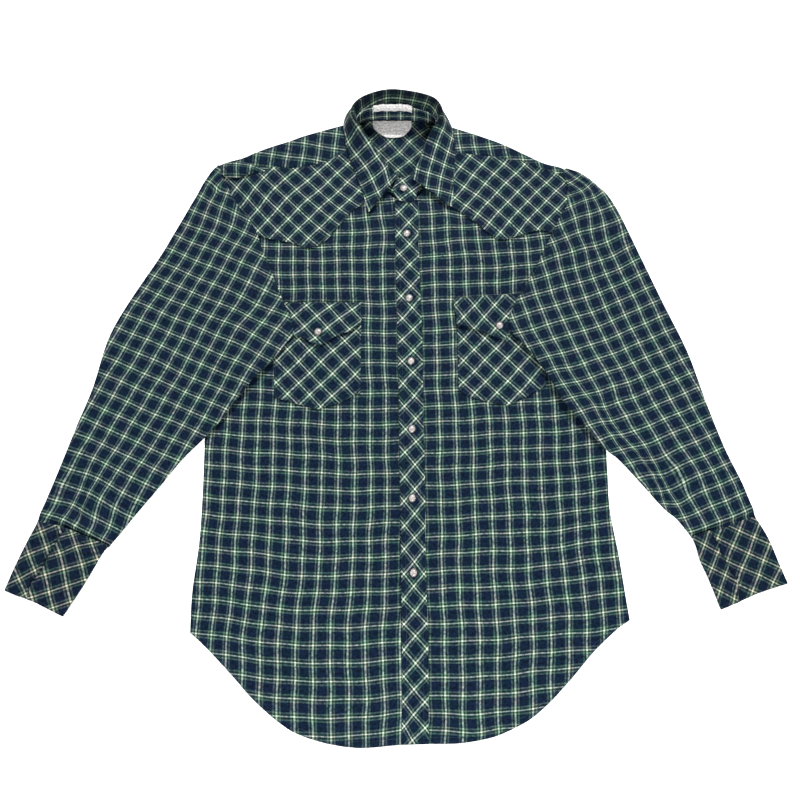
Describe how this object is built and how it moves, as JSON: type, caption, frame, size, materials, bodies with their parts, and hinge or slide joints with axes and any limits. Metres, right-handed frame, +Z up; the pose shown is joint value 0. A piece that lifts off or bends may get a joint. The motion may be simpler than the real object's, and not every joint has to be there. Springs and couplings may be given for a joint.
{
  "type": "western snap shirt",
  "caption": "Long-sleeved plaid western shirt laid flat on its back, snapped shut, with pointed yokes, bias placket, flap pockets and cuffs.",
  "frame": {"origin": "middle of the shirt's bounding box, on the surface it lies on", "axes": "+Z up, away from the surface; +Y towards the collar; +X towards the wearer's left sleeve"},
  "size_m": [0.934, 0.856, 0.0402],
  "materials": {
    "plaid_cloth": "matte woven cotton plaid: navy and dark green with fine white and slate lines",
    "label_cloth": "plain off-white woven tape, bare",
    "pearl": "pearly cap in a thin bright metal rim"
  },
  "bodies": {
    "root": {"back": "plaid_cloth", "back_yoke": "plaid_cloth", "collar_leaf": "plaid_cloth", "collar_stand": "plaid_cloth", "cuff_left": "plaid_cloth", "cuff_right": "plaid_cloth", "front_left": "plaid_cloth", "front_right": "plaid_cloth", "front_yoke_left": "plaid_cloth", "front_yoke_right": "plaid_cloth", "neck_label": "label_cloth", "placket": "plaid_cloth", "pocket_flap_left": "plaid_cloth", "pocket_flap_right": "plaid_cloth", "pocket_left": "plaid_cloth", "pocket_right": "plaid_cloth", "size_label": "label_cloth", "sleeve_left": "plaid_cloth", "sleeve_right": "plaid_cloth", "snap_collar": "pearl", "snap_flap_left": "pearl", "snap_flap_right": "pearl", "snap_front_1": "pearl", "snap_front_2": "pearl", "snap_front_3": "pearl", "snap_front_4": "pearl", "snap_front_5": "pearl", "snap_front_6": "pearl", "yoke_lining": "plaid_cloth"}
  },
  "joints": []
}
